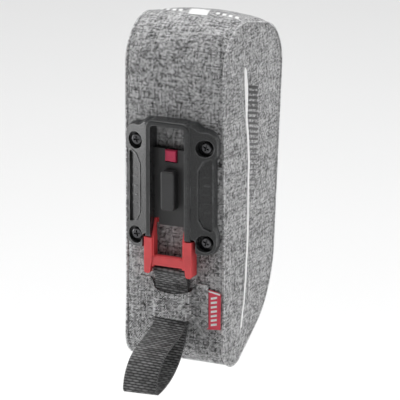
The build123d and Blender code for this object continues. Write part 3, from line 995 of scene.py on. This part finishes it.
dress(keeper(), FABRIC, "bag", "bag_fabric", "keeper_band")


def front_stitches(start, end, pitch, length, radius):
    """A straight row of stitches that faces forwards."""
    steps = 20
    points = [Vector(start).lerp(Vector(end), k / steps) for k in range(steps + 1)]
    return stitch_line("row", points, [(0, -1, 0)] * len(points), pitch, length, radius, 0.05)


def keeper_seams():
    """Two rows of stitches down each wing."""
    depth, top, low = FRONT_Y - 1.3, -63.6, -91.0
    rows = [
        front_stitches((x, depth, top), (x, depth, low), 2.5, 1.8, 0.2)
        for x in (-24.0, -19.4, 19.4, 24.0)
    ]
    return join("keeper_stitches", rows)


dress(keeper_seams(), THREAD, "bag", "thread", "keeper_stitching")


def strap_tack():
    """Two rows of stitches that close the strap round its pin."""
    depth, half = FRONT_Y - 3.75, 10.5
    rows = [
        front_stitches((-half, depth, z), (half, depth, z), 1.6, 1.2, 0.18)
        for z in (-66.2, -64.6)
    ]
    return join("strap_stitches", rows)


dress(strap_tack(), THREAD_BLACK, "release", "thread_black", "strap_bartack")


TAG_LEFT, TAG_WIDTH = 24.4, 9.9
TAG_TOP, TAG_LOW = -65.0, -93.0


def tag_height(across, down):
    """How far the tag stands off the front, most at its free edge."""
    return 0.5 + 0.9 * across * across + 0.35 * math.sin(3.0 * down) * across


def tag():
    """Woven side tag that curls a little at its free edge."""
    def place(across, down):
        x = TAG_LEFT + TAG_WIDTH * across
        top = TAG_TOP - 1.7 * across - 0.8 * across ** 8
        low = TAG_LOW + 1.1 * across
        z = top + (low - top) * down
        return (x, FRONT_Y - tag_height(across, down) + rolled(x, z), z), (x, z)

    sheet = grid_sheet("woven_tag", 13, 31, place)
    thicken(sheet, 0.7, offset=0.0)
    bevel(sheet, 0.2, 50)
    return sheet


dress(tag(), TAG, "bag", "tag_red", "side_tag")


def tag_mark(start, length, top, half, slant):
    """One white stroke that follows the tag's curl; start and top are places on the tag."""
    proud = 0.44

    def place(along, up):
        x = TAG_LEFT + start + length * along
        z = TAG_TOP - top + slant * along + half * (2 * up - 1)
        height = tag_height((x - TAG_LEFT) / TAG_WIDTH, (TAG_TOP - z) / (TAG_TOP - TAG_LOW))
        return (x, FRONT_Y - height - proud + rolled(x, z), z), (x, z)

    mark = grid_sheet("mark", 9, 2, place)
    face_towards(mark, (0, -1, 0))
    return mark


def tag_marks():
    """Plain white marks on the tag: an edge line and a column of slanted bars."""
    marks = [tag_mark(0.4, 9.1, 1.1, 0.6, -1.6)]
    for count in range(7):
        marks.append(tag_mark(2.9, 4.5, 6.2 + 3.05 * count, 0.75, 1.2))
    sheet = join("tag_marks", marks)
    thicken(sheet, 0.12)
    return sheet


dress(tag_marks(), TAG_WHITE, "bag", "reflective")


# ==== lid and zip ====

TAPE_OUT, TAPE_HALF_THICK, TAPE_EDGE = -0.9, 0.45, 0.25


def lid_shell():
    """Slightly domed panel that fills the arch: rings that shrink from its rim to a spine."""
    margin, foot, dome, out = 0.5 - TAPE, 0.4, 1.3, -0.02
    rings, foot_steps = 10, 12
    rim = [(x, up) for x, up, _, _ in arch_path(margin, foot, 2.5)]
    left, right = rim[0][0], rim[-1][0]
    rim += [(right + (left - right) * k / foot_steps, foot) for k in range(1, foot_steps)]
    top, low = ZIP_TOP + margin - 22, foot + 16
    verts, uvs = [], []
    for ring in range(rings + 1):
        t = ring / rings
        for x, up in rim:
            target = Vector((0.0, min(max(up, low), top)))
            spot = Vector((x, up)).lerp(target, t)
            lift = dome * (1 - (1 - t) ** 2.4)
            verts.append(rear_point(spot.x, spot.y, out + lift))
            uvs.append((spot.x, spot.y))
    sheet = mesh_object("lid_shell", verts, grid_faces(rings + 1, len(rim), close_columns=True), uvs)
    clean(sheet, 0.2)
    face_towards(sheet, REAR_OUT)
    thicken(sheet, WALL)
    return sheet


def arch_tape(name, inner, outer, foot):
    """Zip tape that follows the arch between two margins."""
    middle, half = (inner + outer) / 2, (outer - inner) / 2
    path, frames = [], []
    for x, up, nx, nup in arch_path(middle, foot, 1.5):
        path.append(rear_point(x, up, TAPE_OUT))
        frames.append((Vector((nx, 0, 0)) + REAR_UP * nup, REAR_OUT))
    return tube_mesh(name, path, frames, slab_section(half, TAPE_HALF_THICK, TAPE_EDGE))


def coil_teeth(name, inner, outer, foot):
    """Nylon coil seen from inside: one bent loop for each tooth."""
    half_across, half_out, coil_out, steps = 0.95, 0.65, -2.35, 6
    pieces = []
    middle = (inner + outer) / 2
    for x, up, nx, nup in arch_path(middle, foot, 1.3):
        across = Vector((nx, 0, 0)) + REAR_UP * nup
        along = across.cross(REAR_OUT)
        centre = rear_point(x, up, coil_out)
        path, frames = [], []
        for step in range(steps + 1):
            turn = math.pi * (0.1 + 1.8 * step / steps)
            spot = centre + across * half_across * math.cos(turn) + REAR_OUT * half_out * math.sin(turn)
            path.append(spot + along * 0.25 * (step / steps - 0.5))
            frames.append((across * math.cos(turn) + REAR_OUT * math.sin(turn), along))
        pieces.append(tube_mesh("tooth", path, frames, round_section(0.24, 0.36, 6)))
    return join(name, pieces)


dress(lid_shell(), FABRIC, "lid", "bag_fabric", "lid_panel")
lid_tape = arch_tape("lid_zip_tape", 0.6 - TAPE, -0.55, 0.3)
dress(lid_tape, ZIP_TAPE, "lid", "zip_tape", "zip_tape_lid")
bag_tape = arch_tape("bag_zip_tape", 0.55, TAPE - 0.5, ZIP_FOOT + 0.2)
dress(bag_tape, ZIP_TAPE, "bag", "zip_tape", "zip_tape_bag")
dress(coil_teeth("lid_zip_coil", -2.6, -0.6, 0.6), COIL, "lid", "zip_coil", "zip_coil_lid")
dress(coil_teeth("bag_zip_coil", 0.6, 2.6, 0.6), COIL, "bag", "zip_coil", "zip_coil_bag")


def foot_tapes():
    """Closed end of the zip beside the tongue, below the hinge line."""
    section = slab_section(2.4, TAPE_HALF_THICK, TAPE_EDGE)
    low, top, steps = ZIP_FOOT + 0.2, -0.3, 8
    pieces = []
    for sign in (-1, 1):
        middle = sign * (ZIP_HALF - TAPE / 2 - 0.05)
        path = [rear_point(middle, low + (top - low) * k / steps, TAPE_OUT) for k in range(steps + 1)]
        frames = [(Vector((1, 0, 0)), REAR_OUT)] * len(path)
        pieces.append(tube_mesh("foot", path, frames, section))
    return join("foot_zip_tape", pieces)


dress(foot_tapes(), ZIP_TAPE, "bag", "zip_tape")


def zip_seam(name, margin, foot, out):
    """Top stitching along the arch."""
    points = [rear_point(x, up, out) for x, up, _, _ in arch_path(margin, foot, 1.5)]
    return stitch_line(name, points, [REAR_OUT] * len(points), STITCH_PITCH, 2.0, 0.2, 0.06)


dress(zip_seam("bag_zip_stitches", TAPE + 1.6, ZIP_FOOT, 0.0), THREAD, "bag", "thread")
dress(zip_seam("lid_zip_stitches", -TAPE - 1.6, 3.0, 0.45), THREAD, "lid", "thread")


def hinge_tape():
    """Sewn fabric hinge strip across the lid's foot, sunk a little along its middle."""
    half_long, half_high, groove = 16.5, 5.5, 1.2

    def place(across, upwards):
        x, up = half_long * (2 * across - 1), half_high * (2 * upwards - 1)
        sunk = 0.12 * math.cos(up * math.pi / (2 * groove)) if abs(up) < groove else 0.0
        return rear_point(x, up, 0.42 - sunk), (x, up)

    sheet = grid_sheet("lid_hinge_tape", 33, 25, place)
    face_towards(sheet, REAR_OUT)
    thicken(sheet, 0.4)
    return sheet


hinge = hinge_tape()
hinge.data.materials.append(FABRIC)
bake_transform(hinge)
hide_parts("lid_hinge_strip")


# ==== kept CAD pieces ====

KEPT_NODES = {
    "adapter_plate": PLATE,
    "latch_housing": HOUSING,
    "plate_screws": SCREW,
    "tee_nuts": SPRING,
    "front_board": BOARD,
    "lid_board": BOARD,
    "release_slider": RED,
    "strap_pin": SPRING,
    "slider_springs": SPRING,
    "catch": CATCH_RED,
    "catch_leaf_spring": SPRING,
    "zip_stops": ZIP_METAL,
    "zip_slider": ZIP_METAL,
    "puller_pin": ZIP_METAL,
    "zip_puller": ZIP_METAL,
    "puller_grip": GRIP,
}
for node, material in KEPT_NODES.items():
    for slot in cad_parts[node].material_slots:
        slot.material = material


# ==== stage, light, camera ====

def stage():
    """Pale floor below the hanging bag."""
    size, gap = 12.0, 0.16
    bpy.ops.mesh.primitive_plane_add(size=size, location=(0, 0, cad_bounds[0][2] - gap))
    floor = bpy.context.object
    floor.name = "floor"
    paint = Shader("floor_paint")
    tone = paint.noise(paint.object_coordinates((1, 1, 1)), 3.0)
    material = paint.finish(paint.mix(tone, (0.86, 0.86, 0.86, 1), (0.88, 0.88, 0.88, 1)), 0.9)
    floor.data.materials.append(material)


def area_light(name, place, aim, size, power):
    """Rectangular softbox that faces its aim."""
    data = bpy.data.lights.new(name, "AREA")
    data.shape = "RECTANGLE"
    data.size, data.size_y = size
    data.energy = power
    lamp = bpy.data.objects.new(name, data)
    lamp.location = place
    lamp.rotation_euler = (Vector(aim) - Vector(place)).to_track_quat("-Z", "Y").to_euler()
    bpy.context.scene.collection.objects.link(lamp)


def sky():
    """White studio overhead that falls off to grey in front of the plate."""
    world = bpy.data.worlds.new("studio")
    world.use_nodes = True
    tree = world.node_tree
    place = tree.nodes.new("ShaderNodeTexCoord")
    axes = tree.nodes.new("ShaderNodeSeparateXYZ")
    tree.links.new(place.outputs["Generated"], axes.inputs[0])
    product = tree.nodes.new("ShaderNodeMath")
    product.operation = "MULTIPLY"
    upwards = (2, 0.0, 0.9, 0.45, 2.6)
    backwards = (1, -0.9, 0.3, 0.38, 1.0)
    for factor, (axis, *low_high_dim_bright) in enumerate((upwards, backwards)):
        level = tree.nodes.new("ShaderNodeMapRange")
        level.interpolation_type = "SMOOTHSTEP"
        for socket, value in zip(level.inputs[1:5], low_high_dim_bright):
            socket.default_value = value
        tree.links.new(axes.outputs[axis], level.inputs[0])
        tree.links.new(level.outputs[0], product.inputs[factor])
    tree.links.new(product.outputs[0], tree.nodes["Background"].inputs["Strength"])
    bpy.context.scene.world = world


def lights():
    sky()
    area_light("ceiling_box", (-0.3, 0.7, 2.3), (-0.3, 0.701, 0), (4.2, 4.2), 104.0)
    area_light("top_box", (-0.15, 0.2, 0.95), (0, 0.04, 0), (0.8, 0.8), 2.0)
    area_light("left_box", (-1.2, -0.5, 0.05), (0, 0.02, 0), (0.45, 0.66), 8.0)
    area_light("right_box", (1.2, 0.45, 0.35), (0, 0.04, 0), (0.5, 0.9), 5.5)
    bpy.context.scene.view_settings.view_transform = "Standard"


def camera():
    """Long lens, a little above and to the right of the plate's side."""
    azimuth, elevation, distance = math.radians(26.0), math.radians(16.6), 2.585
    target = Vector((0.0189, 0.004, -0.0047))
    back = Vector((
        math.sin(azimuth) * math.cos(elevation),
        -math.cos(azimuth) * math.cos(elevation),
        math.sin(elevation),
    ))
    data = bpy.data.cameras.new("camera")
    data.lens = 355.4
    data.sensor_width = 36.0
    data.clip_start, data.clip_end = 0.1, 20.0
    eye = bpy.data.objects.new("camera", data)
    eye.location = target + back * distance
    eye.rotation_euler = (-back).to_track_quat("-Z", "Y").to_euler()
    bpy.context.scene.collection.objects.link(eye)
    bpy.context.scene.camera = eye


stage()
lights()
camera()
